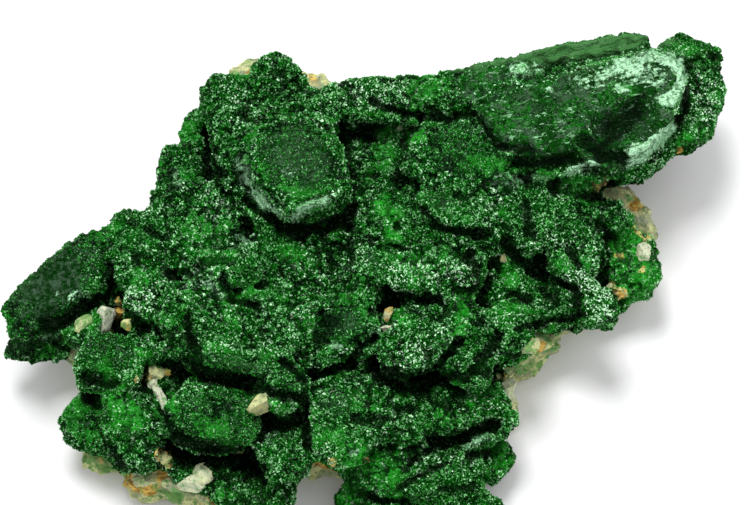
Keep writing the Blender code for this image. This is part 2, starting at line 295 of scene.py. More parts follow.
def near(pixels, reach, path):
    """1 on a path drawn over the photograph, falling to 0 at that many pixels from it."""
    nearest = np.full(len(pixels), 1e9)
    path = np.array(path, float)
    for start, end in zip(path, path[1:] if len(path) > 1 else path):
        run = end - start
        share = np.clip((pixels - start) @ run / max(run @ run, 1e-9), 0, 1)
        nearest = np.minimum(nearest, np.hypot(*(pixels - start - share[:, None] * run).T))
    return step_between(0, 0.75, 1 - nearest / reach)


def drawn(pixels, marks):
    """The strongest of several marks at each pixel. A mark is its strength, reach and path."""
    strength = np.zeros(len(pixels))
    for most, reach, path in marks:
        strength = np.maximum(strength, most * near(pixels, reach, path))
    return strength


def filled(pixels, soft, outline):
    """1 within an outline drawn over the photograph, falling to 0 at that many pixels inside its edge."""
    outline = np.array(outline, float)
    inside = np.zeros(len(pixels), bool)
    nearest = np.full(len(pixels), 1e9)
    for start, end in zip(outline, np.roll(outline, -1, axis=0)):
        run = end - start
        share = np.clip((pixels - start) @ run / (run @ run), 0, 1)
        nearest = np.minimum(nearest, np.hypot(*(pixels - start - share[:, None] * run).T))
        spans = (start[1] > pixels[:, 1]) != (end[1] > pixels[:, 1])
        crossing = start[0] + run[0] * (pixels[:, 1] - start[1]) / (run[1] or 1e-9)
        inside ^= spans & (pixels[:, 0] < crossing)
    return inside * step_between(0, soft, nearest)


def painted(pixels, faces):
    """The strongest of several filled outlines at each pixel: its strength, soft edge and outline."""
    strength = np.zeros(len(pixels))
    for most, soft, outline in faces:
        strength = np.maximum(strength, most * filled(pixels, soft, outline))
    return strength


host_rock, shader, place = new_material("host_rock")
grit = place.clouds(0.5 * MM, 4, 0.7)
stain = place.clouds(3.5 * MM, 4, 0.6) + 0.3 * place.clouds(0.8 * MM, 2)
colour = place.clouds(2.5 * MM, 5, 0.6).ramp(0.40, 0.60).mix(ROCK_CREAM, ROCK_GREY)
colour = (place.value("quartz") * 0.9).mix(colour, ROCK_WHITE)
rust = (stain + 0.45 * place.value("rust")).ramp(0.78, 0.98)
colour = rust.mix(colour, place.clouds(1.2 * MM, 3).ramp(0.42, 0.62).mix(ROCK_OCHRE, ROCK_BROWN))
copper = (place.clouds(1.8 * MM, 4, 0.6, turn=1.0) + 0.20 * place.value("copper")).ramp(0.54, 0.68)
colour = (copper * 0.8).mix(colour, ROCK_COPPER)
colour = (grit.ramp(0.52, 0.68) * 0.7).mix(colour, ROCK_PIT)
feed(shader, "Base Color", colour)
feed(shader, "Normal", place.bump(grit, 0.25 * MM))
shader.inputs["Roughness"].default_value = 0.8
shader.inputs["Specular IOR Level"].default_value = 0.25

# Iron and copper stains and quartz where the photograph shows them: strength, reach and path in pixels.
RUST_MARKS = [
    (1, 14, [(636, 202)]), (1, 9, [(540, 347)]), (0.9, 16, [(165, 475), (180, 480)]),
    (1, 16, [(215, 495), (228, 505)]), (0.9, 10, [(310, 455), (335, 465)]), (0.8, 8, [(100, 455)]),
    (0.7, 9, [(250, 75)]), (0.7, 8, [(312, 75)]), (0.8, 12, [(130, 480), (150, 490)])]
COPPER_MARKS = [
    (0.7, 26, [(86, 460), (110, 468)]), (1, 22, [(170, 495)]), (1, 16, [(150, 455)]),
    (0.9, 14, [(548, 330), (560, 345)]), (1, 30, [(640, 270)]), (0.7, 14, [(500, 375)]),
    (1, 13, [(522, 366), (542, 360)]), (0.8, 14, [(345, 470)])]
QUARTZ_MARKS = [
    (1, 14, [(512, 392)]), (0.8, 14, [(135, 473)]), (0.7, 12, [(645, 215)]), (0.9, 12, [(200, 480)])]
# Here the rock draws in under the crust: a path and its reach in pixels, and the step inwards.
ROCK_NOTCH = [(550, 372), (532, 392)]
ROCK_NOTCH_REACH = 30
ROCK_NOTCH_STEP = (-2.2 * MM, 1.6 * MM, 0)

rock = merged_copy("matrix", "host_rock")
work(rock, [("REMESH", {"mode": "VOXEL", "voxel_size": ROCK_FACE}),
            ("SMOOTH", {"factor": 0.5, "iterations": 1})])
places, normals = surface(rock)
off_table = step_between(0.2 * MM, 1.5 * MM, places[:, 2])
steep = step_between(0.3, 0.8, 1 - np.abs(normals[:, 2]))
ledges = np.abs((places[:, 2] / ROCK_LEDGE_STEP + 1.2 * lumps(places, 7 * MM, 3.0)) % 1.0 * 2 - 1)
relief = (sum(height * lumps(places, size, shift) for height, size, shift in ROCK_LUMPS)
          + ROCK_FACET_HEIGHT * facets(places, 4.5 * MM, 21.0)
          + ROCK_LEDGE_HEIGHT * (ledges - 0.5) * steep)
move(rock, normals * (off_table * relief * MM)[:, None])
places = surface(rock)[0]
move(rock, near(seen(places), ROCK_NOTCH_REACH, ROCK_NOTCH)[:, None] * np.array(ROCK_NOTCH_STEP))
places, normals = surface(rock)
pixels = seen(places)
in_view = step_between(0.15, 0.55, normals @ np.array(TO_CAMERA))
for name, marks in (("rust", RUST_MARKS), ("copper", COPPER_MARKS), ("quartz", QUARTZ_MARKS)):
    keep_values(rock, name, in_view * drawn(pixels, marks))
rock.data.materials.append(host_rock)
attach(rock, "root")
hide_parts("matrix")

# The malachite: azurite blades that malachite replaced grain by grain, intergrown at all angles.
# Their edges are worn round, deep clefts part them, and a few broad faces stayed smooth.
# Its mesh is the CAD solid rebuilt in small faces, with gaps narrower than a millimetre closed.
COARSE_FACE = 0.6 * MM
BLADE_FACE = 0.42 * MM
GAP_CLOSED = 0.5 * MM
UNDERSIDE_KEPT = 0.12
KNOB = 1.05 * MM
LAYER = 1.1 * MM
BLADE_TRIANGLES = 195000

# The grid of heights that tells hollows and outer walls: its cell, the empty cells round it, how many
# cells a wide and a close look reach, and how far ahead of a wall it looks, in mm.
CELL = 0.5 * MM
GRID_MARGIN = 14
WIDE_CELLS = 12
CLOSE_CELLS = 4
LOOK_AHEAD = 7

# The stripes of the long crystal: their turn, and the pixels between which they fade in.
LONG_CRYSTAL_TURN = math.radians(17)
LONG_CRYSTAL_ACROSS = (440, 480)
LONG_CRYSTAL_DOWN = (190, 165)

# The heights of the fine relief, in mm.
LUMP_HEIGHT = 0.18
CRACK_DEPTH = 0.75
FACET_HEIGHT = 0.95
KNOB_HEIGHT = 0.16
GRAIN_HEIGHT = 0.10
LAYER_HEIGHT = 0.35
STRIPE_HEIGHT = 0.40
SMOOTH_FACE_HEIGHT = 0.30

# Marks read off the photograph, in pixels. A cleft or a mark is its depth in mm or its strength, its
# reach and its path. A face is its strength, the width of its soft edge and its outline.
CLEFTS = [
    (3.0, 6, [(475, 112), (487, 130), (498, 147)]), (2.0, 7, [(430, 108), (448, 118), (476, 113)]),
    (2.2, 8, [(500, 146), (530, 150)]), (3.0, 11, [(520, 160), (545, 163), (572, 158)]),
    (3.0, 12, [(585, 142), (600, 156), (622, 158)]), (3.2, 19, [(606, 130), (636, 112)]),
    (1.6, 4, [(548, 66), (575, 62), (600, 58), (618, 53)]), (1.2, 4, [(546, 60), (549, 76)]),
    (0.7, 4, [(690, 62), (689, 95), (681, 120), (674, 136)]), (1.2, 4, [(692, 88)]),
    (2.5, 9, [(598, 150), (612, 138), (628, 128)]), (2.5, 8, [(558, 160), (580, 160)]),
    (4.0, 8, [(206, 132), (211, 155)]), (4.0, 9, [(210, 160), (221, 176)]),
    (2.0, 6, [(200, 152), (212, 170)]), (1.8, 3.5, [(250, 166), (260, 181), (272, 195), (284, 207)]),
    (2.4, 6, [(246, 201), (262, 214), (282, 226), (320, 225), (348, 215), (353, 206)]),
    (1.2, 4, [(296, 204), (316, 196), (330, 193)]), (2.0, 6, [(327, 128)]), (2.5, 7, [(343, 127)]),
    (1.5, 8, [(170, 176), (172, 188)]), (1.6, 8, [(198, 268), (212, 262), (230, 262)]),
    (2.5, 8, [(222, 276), (232, 300)]), (2.5, 7, [(234, 302), (256, 305)]),
    (1.0, 4, [(186, 246), (210, 246), (242, 252)]), (2.0, 8, [(245, 222), (252, 236)]),
    (4.0, 14, [(192, 366), (208, 378), (235, 380), (258, 387)]),
    (3.5, 8, [(254, 385), (272, 393), (305, 402)]), (1.6, 5, [(352, 226), (353, 262)]),
    (2.0, 7, [(334, 244), (350, 250)]), (2.5, 10, [(398, 225)]), (1.5, 5, [(354, 244), (376, 239)]),
    (2.0, 6, [(384, 246), (408, 249)]), (3.0, 8, [(386, 293), (412, 297), (430, 301)]),
    (3.0, 8, [(371, 312), (386, 308), (399, 303)]), (2.0, 13, [(320, 339)]), (1.8, 17, [(332, 322)]),
    (3.0, 8, [(285, 364), (302, 378), (322, 372), (348, 366), (361, 346), (374, 339)]),
    (3.5, 8, [(380, 366), (398, 379), (420, 378), (441, 364), (458, 341)]),
    (1.2, 5, [(264, 265), (266, 286)]), (1.8, 8, [(330, 256), (332, 268)]),
    (2.5, 8, [(187, 318), (191, 340), (199, 356)]), (2.0, 5, [(420, 203), (434, 222)]),
    (3.2, 8, [(434, 225), (456, 231), (482, 234)]), (2.5, 12, [(505, 242), (515, 254)]),
    (2.5, 8, [(455, 290), (482, 288)]), (2.0, 8, [(470, 258), (478, 276)]),
    (2.5, 8, [(532, 271), (560, 282), (576, 291), (579, 311)]), (1.6, 18, [(552, 295)]),
    (2.0, 11, [(512, 296), (528, 300)]), (2.5, 7, [(518, 328), (545, 323), (582, 315)]),
    (1.8, 10, [(526, 204), (530, 232)]), (1.5, 5, [(575, 206), (591, 224), (606, 222), (621, 208)]),
    (2.5, 11, [(601, 228), (612, 236)]), (2.5, 8, [(570, 250), (579, 266)]),
    (2.5, 8, [(604, 254), (606, 282)]), (3.0, 11, [(498, 336), (483, 358), (472, 372)]),
    (2.5, 8, [(472, 374), (497, 374)]), (2.5, 8, [(440, 376), (468, 378)]),
    (1.8, 6, [(500, 353), (516, 357), (527, 349)]), (1.8, 6, [(440, 299), (446, 313)]),
    (3.0, 11, [(86, 378), (112, 384)]), (4.0, 13, [(176, 438), (200, 448), (238, 452)]),
    (3.0, 9, [(238, 454), (264, 470)]), (3.5, 8, [(301, 398), (305, 420), (309, 446)]),
    (2.0, 8, [(108, 446), (122, 464)]), (2.0, 8, [(160, 410), (172, 426)]),
    (2.0, 7, [(262, 421), (270, 427)]), (1.8, 6, [(355, 418), (392, 420)]),
    (2.5, 9, [(396, 409), (412, 411)]), (3.5, 12, [(431, 438), (445, 443), (462, 437), (494, 424)]),
    (1.2, 4, [(378, 446), (410, 450)]), (1.8, 6, [(404, 470), (417, 455), (432, 451)]),
    (2.5, 8, [(470, 456), (490, 453)]), (2.0, 6, [(352, 492), (376, 499), (404, 501)]),
    (1.8, 6, [(400, 487), (420, 476), (442, 466)]), (1.8, 7, [(442, 489), (472, 488)]),
    (4.2, 9, [(108, 284)]), (3.5, 7, [(108, 264), (110, 280)]),
    (3.5, 14, [(98, 298), (84, 307), (66, 319), (46, 327)]), (1.8, 6, [(145, 228), (160, 237)]),
    (3.0, 10, [(126, 312), (142, 326)]), (1.5, 5, [(10, 347), (40, 343), (62, 336)]),
    (2.5, 10, [(168, 273), (178, 280)]), (2.0, 6, [(358, 124), (382, 127)]),
    (2.6, 6, [(372, 100), (382, 107), (400, 112), (440, 118)]), (1.8, 6, [(404, 143), (406, 156)]),
    (1.5, 7, [(585, 168), (600, 172)])]
# Rims are raised in the relief and also painted lighter, as painted highlights along the blade edges.
RIMS = [
    (0.9, 9, [(240, 158), (252, 180), (270, 200), (286, 214)]),
    (0.8, 9, [(296, 214), (318, 202), (334, 199)]),
    (0.9, 10, [(520, 270), (548, 268), (575, 276), (594, 290), (606, 312)]),
    (0.7, 7, [(193, 262), (205, 252), (224, 250), (240, 259)]),
    (0.8, 8, [(318, 306), (345, 298), (364, 312), (370, 332)]),
    (0.6, 7, [(648, 52), (676, 60), (687, 80), (682, 104), (668, 122)]),
    (0.7, 8, [(612, 164), (645, 148), (678, 126)]), (0.7, 9, [(470, 60), (540, 46), (600, 38), (648, 33)]),
    (0.6, 7, [(545, 80), (585, 66), (625, 54), (650, 50)]),
    (0.6, 8, [(196, 356), (230, 350), (262, 356), (290, 350)]),
    (0.6, 8, [(384, 366), (415, 372), (438, 352)]), (0.5, 7, [(400, 330), (430, 334), (456, 332)]),
    (0.7, 7, [(405, 478), (430, 460), (455, 456)]), (0.5, 7, [(308, 404), (330, 392), (352, 396)]),
    (0.6, 7, [(578, 200), (600, 195), (620, 205)]), (0.5, 8, [(262, 418), (268, 440), (276, 470)])]
SMOOTH_FACES = [
    (0.35, 4, [(234, 158), (242, 156), (250, 172), (262, 188), (274, 202), (286, 216), (280, 220),
               (262, 210), (246, 194), (236, 174)]),
    (0.35, 4, [(290, 222), (298, 208), (312, 200), (330, 196), (334, 204), (316, 210), (304, 220)]),
    (0.97, 8, [(474, 116), (472, 106), (500, 80), (547, 74), (604, 58), (652, 47), (686, 56), (690, 76),
               (680, 108), (679, 128), (652, 160), (622, 175), (562, 175), (493, 150)]),
    (1, 3, [(430, 72), (497, 44), (547, 34), (608, 24), (641, 21), (684, 24), (672, 46), (604, 61),
            (547, 67), (500, 68)]),
    (0.95, 7, [(452, 76), (476, 64), (503, 62), (526, 55), (549, 62), (549, 72), (508, 82), (474, 108),
               (456, 98)]),
    (0.98, 9, [(12, 286), (38, 262), (58, 246), (78, 248), (88, 268), (88, 285), (72, 306), (48, 324),
               (30, 330), (22, 308)]),
    (0.75, 14, [(254, 145), (274, 126), (308, 124), (326, 144), (336, 165), (332, 190), (310, 198),
                (284, 199), (262, 182)]),
    (0.85, 9, [(328, 306), (350, 300), (364, 312), (364, 330), (346, 340), (328, 330)]),
    (0.8, 7, [(428, 190), (446, 186), (456, 200), (448, 214), (430, 212)]),
    (0.4, 5, [(390, 218), (402, 216), (406, 234), (394, 238)]),
    (0.55, 8, [(200, 352), (236, 352), (268, 364), (262, 376), (228, 374), (202, 366)]),
    (0.6, 10, [(312, 396), (340, 384), (360, 392), (356, 414), (330, 424)]),
    (0.9, 4, [(358, 250), (378, 250), (380, 266), (362, 268)]),
    (0.9, 4, [(260, 416), (274, 416), (276, 430), (262, 430)]),
    (0.8, 5, [(402, 492), (428, 490), (430, 505), (404, 505)]),
    (0.8, 6, [(432, 336), (448, 336), (452, 350), (436, 352)])]
PALE_FACES = [
    (1, 3, [(612, 60), (652, 48), (670, 51), (686, 57), (690, 74), (682, 98), (672, 110), (658, 107),
            (652, 97), (668, 90), (676, 80), (668, 66), (652, 62), (640, 70), (642, 84), (632, 78),
            (612, 72)]),
    (0.52, 7, [(560, 74), (610, 60), (660, 60), (676, 80), (660, 94), (640, 92), (612, 86), (590, 94),
               (566, 88)]),
    (0.46, 4, [(503, 64), (526, 55), (548, 60), (548, 72), (530, 78), (506, 78)]),
    (0.85, 4, [(678, 118), (677, 130), (662, 147), (650, 159), (626, 172), (614, 164), (616, 153),
               (630, 143), (650, 134), (666, 122)]),
    (0.85, 3, [(560, 174), (574, 162), (594, 158), (606, 163), (598, 173), (570, 177)]),
    (0.8, 2, [(610, 86), (626, 84), (634, 92), (618, 94)]),
    (0.7, 2, [(588, 126), (600, 122), (602, 130), (590, 134)])]
PALE_MARKS = [
    (0.75, 5, [(493, 185), (520, 183), (547, 179)]), (0.8, 5, [(506, 137), (520, 139)]),
    (0.7, 4, [(548, 88), (560, 92)]),
    (0.85, 9, [(240, 160), (243, 175), (252, 191), (266, 205), (280, 215)]),
    (0.9, 9, [(295, 218), (302, 210), (312, 204), (326, 200)]), (0.9, 3, [(57, 294)]),
    (0.8, 5, [(69, 298), (76, 294)]), (0.8, 4, [(79, 289), (82, 301)]), (0.7, 6, [(46, 340), (56, 337)]),
    (0.7, 6, [(286, 172), (292, 174)]), (0.6, 6, [(185, 285), (205, 280), (222, 292)]),
    (0.7, 7, [(172, 172), (177, 184)]), (0.8, 7, [(240, 237), (246, 240)]),
    (0.8, 6, [(498, 175), (520, 180), (534, 176)]), (0.7, 6, [(430, 442), (444, 446)]),
    (0.8, 5, [(332, 344), (342, 346)]), (0.7, 5, [(372, 332), (388, 328)]),
    (0.7, 6, [(466, 446), (484, 436), (494, 440)]), (0.6, 6, [(262, 418), (268, 440)]),
    (0.8, 7, [(352, 454), (356, 450)])]
VIVID_MARKS = [
    (0.9, 16, [(383, 205), (396, 222), (392, 240)]), (1, 11, [(460, 296), (462, 312), (459, 332)]),
    (0.9, 14, [(568, 188), (590, 184)]), (1, 40, [(628, 252), (632, 282)]),
    (1, 34, [(358, 462), (384, 472)]), (0.8, 20, [(500, 450), (508, 472)]),
    (1, 26, [(338, 494), (352, 500)]), (0.9, 28, [(118, 398), (128, 420)]),
    (1, 10, [(140, 352), (150, 358)]), (0.9, 13, [(510, 265), (514, 280)]),
    (1, 11, [(382, 135), (420, 136)]), (0.7, 14, [(520, 68)]), (0.6, 12, [(284, 186), (304, 194)]),
    (1, 12, [(400, 315), (408, 322)]), (0.8, 12, [(170, 398), (172, 408)]),
    (0.9, 12, [(82, 325), (95, 320)]), (0.8, 13, [(276, 405), (284, 412)]),
    (0.8, 10, [(680, 142), (690, 138)]), (0.7, 16, [(470, 400), (495, 392)]),
    (0.7, 12, [(440, 415), (452, 422)]), (0.8, 9, [(208, 262), (232, 256)]),
    (0.7, 9, [(620, 85), (632, 92)])]
# Painted light: patches painted lighter, where the blades catch the light.
LIGHT_MARKS = [
    (1, 24, [(140, 300)]), (0.25, 14, [(204, 356), (240, 358)]), (0.8, 22, [(585, 285), (602, 308)]),
    (0.2, 16, [(284, 372)]), (0.7, 20, [(400, 272), (470, 270)]), (0.7, 24, [(215, 205)]),
    (0.5, 30, [(245, 110)]), (0.5, 30, [(345, 75), (380, 90)]), (0.6, 20, [(700, 80), (705, 110)]),
    (0.8, 20, [(405, 355), (430, 350)]), (0.4, 30, [(560, 240)])]
CREAM_MARKS = [
    (1, 9, [(620, 294)]), (1, 8, [(612, 285)]), (0.9, 6, [(618, 256)]), (1, 8, [(598, 187), (606, 184)]),
    (1, 9, [(640, 226), (646, 236)]), (0.8, 7, [(643, 270)]), (0.9, 6, [(504, 377), (512, 374)]),
    (0.8, 7, [(332, 462)]), (0.8, 6, [(366, 460)]), (1, 9, [(160, 455), (166, 462)]),
    (0.8, 8, [(140, 380), (148, 378)]), (0.8, 7, [(536, 338), (548, 346)])]
# Painted shade: faces painted darker.
SHADED_FACES = [
    (0.9, 4, [(0, 300), (16, 280), (44, 254), (78, 226), (100, 220), (112, 240), (106, 262), (90, 285),
              (74, 304), (60, 330), (80, 345), (50, 360), (6, 356), (0, 330)]),
    (0.7, 12, [(250, 140), (275, 118), (310, 118), (340, 150), (340, 190), (300, 204), (262, 186)]),
    (0.6, 10, [(305, 296), (350, 290), (374, 310), (370, 340), (340, 350), (312, 340)]),
    (0.6, 6, [(78, 332), (120, 328), (140, 350), (130, 372), (96, 376), (80, 360)]),
    (0.6, 6, [(58, 420), (84, 388), (106, 400), (110, 440), (80, 446)]),
    (0.6, 8, [(420, 130), (470, 112), (500, 150), (540, 160), (560, 178), (480, 186), (430, 170)]),
    (0.5, 5, [(188, 350), (236, 346), (272, 356), (302, 384), (306, 398), (270, 390), (230, 380),
              (196, 370)]),
    (0.5, 6, [(176, 392), (230, 384), (266, 398), (262, 440), (200, 446), (176, 424)])]
OLIVE_FACES = [
    (1, 3, [(430, 70), (497, 44), (547, 34), (608, 24), (641, 21), (656, 27), (648, 43), (604, 60),
            (547, 66), (524, 60), (503, 66), (470, 74)]),
    (0.85, 4, [(648, 34), (680, 32), (676, 46), (654, 48)]),
    (0.7, 3, [(549, 74), (600, 60), (606, 66), (560, 80)]),
    (0.7, 5, [(3, 300), (16, 282), (44, 256), (78, 232), (84, 240), (50, 268), (30, 290), (28, 312),
              (14, 318)]),
    (0.45, 16, [(262, 130), (290, 112), (325, 128), (335, 165), (310, 188), (280, 175)]),
    (0.5, 5, [(505, 66), (526, 57), (546, 62), (545, 72)]),
    (0.5, 6, [(200, 352), (236, 352), (268, 364), (262, 374), (228, 372)])]


def strewn(places, size):
    """Distance to the nearest of points strewn about that far apart, as a share of that size."""
    return np.array([noise.voronoi(Vector(place))[0][0] for place in places / size])


def cracks(places, size, shift):
    """1 along wandering cracks that part a surface into chunks about that size across, else 0."""
    closeness = np.empty(len(places))
    for number, place in enumerate(places / size + shift):
        bent = Vector(place) + 0.3 * noise.noise_vector(Vector(place) * 1.8)
        distances = noise.voronoi(bent)[0]
        closeness[number] = distances[1] - distances[0]
    return step_between(0.20, 0.02, closeness)


def seen_unevenly(places, size, reach):
    """Where each place shows, shifted by up to that many pixels, so that no mark keeps a straight edge."""
    shifts = np.stack([lumps(places, size, 60.0), lumps(places, size, 70.0)], axis=1)
    return seen(places) + shifts * reach


def mean_around(grid, reach):
    """The mean over the square of cells that reaches that far from each cell."""
    for axis in (0, 1):
        grid = sum(np.roll(grid, shift, axis) for shift in range(-reach, reach + 1)) / (2 * reach + 1)
    return grid


crust = merged_copy("malachite", "malachite_blades")
work(crust, [("REMESH", {"mode": "VOXEL", "voxel_size": COARSE_FACE}),
             ("DISPLACE", {"strength": GAP_CLOSED, "mid_level": 0.0}),
             ("REMESH", {"mode": "VOXEL", "voxel_size": COARSE_FACE}),
             ("DISPLACE", {"strength": -GAP_CLOSED, "mid_level": 0.0}),
             ("SMOOTH", {"factor": 0.5, "iterations": 2})])
places, normals = surface(crust)
pixels = seen_unevenly(places, 2.5 * MM, 4)
in_view = step_between(0.05, 0.4, normals @ np.array(TO_CAMERA))
in_view = in_view * step_between(5 * MM, 9 * MM, places[:, 2])
sunk = drawn(pixels, [(depth, reach * 1.15, path) for depth, reach, path in CLEFTS])
raised = drawn(pixels, RIMS)
rugged = 1 - 0.85 * painted(pixels, SMOOTH_FACES)
shape = (raised - sunk + 0.5 * lumps(places, 10 * MM) + 0.3 * lumps(places, 4.5 * MM, 5.0)
         + 1.5 * rugged * facets(places, 5 * MM, 3.0))
move(crust, (in_view * shape)[:, None] * np.array(TO_CAMERA) * MM)

work(crust, [("REMESH", {"mode": "VOXEL", "voxel_size": BLADE_FACE}),
             ("SMOOTH", {"factor": 0.5, "iterations": 1})])
places, normals = surface(crust)
hidden = np.flatnonzero(normals[:, 2] < -0.4)
underside = crust.vertex_groups.new(name="underside")
underside.add(hidden.tolist(), 1.0, "REPLACE")
share_hidden = len(hidden) / len(places)
work(crust, [("DECIMATE", {"ratio": 1 - share_hidden * (1 - UNDERSIDE_KEPT), "vertex_group": "underside"})])
crust.vertex_groups.clear()

places, normals = surface(crust)
pixels = seen_unevenly(places, 1.6 * MM, 3)
in_view = step_between(-0.1, 0.3, normals @ np.array(TO_CAMERA))
in_view = in_view * step_between(4 * MM, 8 * MM, places[:, 2])
smooth_face = in_view * painted(pixels, SMOOTH_FACES)
smooth_face = smooth_face * (0.88 + 0.12 * step_between(-0.5, 0.1, lumps(places, 3 * MM, 15.0)))
knob = 1 - np.clip(strewn(places, KNOB) / 0.8, 0, 1)
layered = step_between(0.35, 0.8, 1 - np.abs(normals[:, 2]))
layer_edge = np.abs((places[:, 2] / LAYER + 1.5 * lumps(places, 9 * MM, 3.0)) % 1.0 * 2 - 1)
cosine = math.cos(LONG_CRYSTAL_TURN)
sine = math.sin(LONG_CRYSTAL_TURN)
lengthwise = np.stack([(places[:, 0] * cosine + places[:, 1] * sine) / 12,
                       places[:, 1] * cosine - places[:, 0] * sine,
                       places[:, 2] / 2], axis=1)
on_long_crystal = (step_between(*LONG_CRYSTAL_ACROSS, pixels[:, 0])
                   * step_between(*LONG_CRYSTAL_DOWN, pixels[:, 1]))
wide_cracks = cracks(places, 3.6 * MM, 5.0) * step_between(-0.25, 0.15, lumps(places, 9 * MM, 50.0))
fine_cracks = cracks(places, 2.0 * MM, 2.0) * step_between(0.0, 0.3, lumps(places, 6 * MM, 90.0))
crack = np.maximum(wide_cracks, fine_cracks) * (1 - 0.9 * smooth_face)
height = (LUMP_HEIGHT * lumps(places, 1.9 * MM, 9.0) * (1 - 0.6 * smooth_face)
          - CRACK_DEPTH * crack
          + FACET_HEIGHT * facets(places, 2.8 * MM, 8.0) * (1 - 0.75 * smooth_face)
          + KNOB_HEIGHT * (knob - 0.4) * (1 - 0.8 * smooth_face)
          + GRAIN_HEIGHT * lumps(places, 0.8 * MM, 12.0)
          + LAYER_HEIGHT * layered * (layer_edge - 0.5)
          + STRIPE_HEIGHT * smooth_face * on_long_crystal * lumps(lengthwise, 1.1 * MM, 2.0)
          + SMOOTH_FACE_HEIGHT * smooth_face * lumps(places, 1.2 * MM, 33.0))
move(crust, normals * height[:, None] * MM)

# Hollows lie below the mean height round them, and in front of an outer wall the ground drops away. Painted
# shade: hollows, clefts, cracks and undersides are painted near black, less on outer walls.
places, normals = surface(crust)
column = np.floor((places[:, 0] - places[:, 0].min()) / CELL).astype(int) + GRID_MARGIN
line = np.floor((places[:, 1] - places[:, 1].min()) / CELL).astype(int) + GRID_MARGIN
tops = np.zeros((column.max() + GRID_MARGIN + 1, line.max() + GRID_MARGIN + 1))
np.maximum.at(tops, (column, line), places[:, 2])
below_wide = mean_around(tops, WIDE_CELLS)[column, line] - places[:, 2]
below_close = mean_around(tops, CLOSE_CELLS)[column, line] - places[:, 2]
ahead = places[:, :2] + normals[:, :2] * LOOK_AHEAD * MM - places[:, :2].min(axis=0)
column_ahead = np.clip((ahead[:, 0] / CELL).astype(int) + GRID_MARGIN, 0, tops.shape[0] - 1)
line_ahead = np.clip((ahead[:, 1] / CELL).astype(int) + GRID_MARGIN, 0, tops.shape[1] - 1)
drop_ahead = places[:, 2] - tops[column_ahead, line_ahead]
upright = step_between(0.35, 0.75, np.hypot(*normals[:, :2].T))
outer_wall = step_between(1 * MM, 4 * MM, drop_ahead) * upright
cleft = in_view * drawn(pixels, [(min(1, depth / 2.2), reach * 0.95, path) for depth, reach, path in CLEFTS])
hollow = np.maximum(step_between(2.0 * MM, 6.0 * MM, below_wide),
                    step_between(0.7 * MM, 2.2 * MM, below_close))
vivid = in_view * drawn(pixels, VIVID_MARKS)
hollow *= (1 - 0.85 * outer_wall) * (1 - 0.7 * vivid) * (0.45 + 0.55 * in_view)
hollow = np.maximum(hollow, 0.9 * cleft)
hollow = np.maximum(hollow, 0.75 * crack)
hollow = np.maximum(hollow, 0.35 * step_between(-0.1, -0.7, normals[:, 2]))
patchy = step_between(-0.25, 0.25, lumps(places, 1.6 * MM, 30.0))
pale = np.maximum(drawn(pixels, PALE_MARKS) * (0.45 + 0.55 * patchy), painted(pixels, PALE_FACES))
pale *= in_view * (1 - 0.8 * cleft)
bare = step_between(0.35, 0.9, vivid) * step_between(-0.35, 0.05, lumps(places, 2.5 * MM, 44.0))
vivid = np.maximum(vivid * (0.7 + 0.3 * patchy),
                   0.55 * step_between(0.0, 0.4, lumps(places, 6 * MM, 40.0)) * (1 - 0.85 * smooth_face))
# Painted light and shade: 0.5 is plain, more is painted lighter by the light marks and rims, less is painted
# darker by the shaded faces.
light = drawn(pixels, LIGHT_MARKS) + 0.6 * patchy * drawn(pixels, RIMS) - painted(pixels, SHADED_FACES)
light = 0.5 + 0.5 * in_view * light
cream = in_view * drawn(pixels, CREAM_MARKS)
olive = in_view * painted(pixels, OLIVE_FACES)
cover = step_between(-0.5, -0.1, normals[:, 2]) * step_between(0.95, 0.5, smooth_face)
cover *= 1 - 0.5 * hollow
cover *= 1 - 0.6 * pale
cover *= (0.35 + 0.65 * step_between(0.15, 0.55, knob)) * (1 - 0.8 * cream) * (1 - 0.5 * bare)
for name, values in (("hollow", hollow), ("smooth_face", smooth_face), ("pale", pale), ("vivid", vivid),
                     ("light", light), ("olive", olive), ("cream", cream), ("knob", knob),
                     ("druse_cover", cover)):
    keep_values(crust, name, values)
triangles = sum(len(face.vertices) - 2 for face in crust.data.polygons)
work(crust, [("DECIMATE", {"ratio": min(1.0, BLADE_TRIANGLES / triangles)})])

# GREEN_BLACK is the painted shade of hollows and clefts, and also the colour of the dark specks on smooth
# faces.
GREEN_DEEP = (0.0003, 0.022, 0.0004, 1)
GREEN_MIDDLE = (0.004, 0.125, 0.004, 1)
GREEN_VIVID = (0.020, 0.36, 0.018, 1)
GREEN_PALE = (0.24, 0.52, 0.26, 1)
GREEN_MINT = (0.46, 0.80, 0.51, 1)
GREEN_OLIVE = (0.045, 0.165, 0.042, 1)
GREEN_GREY = (0.045, 0.085, 0.05, 1)
GREEN_SHEEN = (0.13, 0.29, 0.12, 1)
GREEN_BLACK = (0.0003, 0.0025, 0.0004, 1)

blade_finish, shader, place = new_material("malachite_blade")
smooth_here = place.value("smooth_face")
olive_here = place.value("olive")
mottle = place.clouds(1.1 * MM, 5, 0.7)
streaks = place.clouds(1.0 * MM, 4, 0.7, (0.22, 1.3, 1), turn=-LONG_CRYSTAL_TURN)
flecks = place.clouds(0.45 * MM, 3, 0.75, turn=0.8)
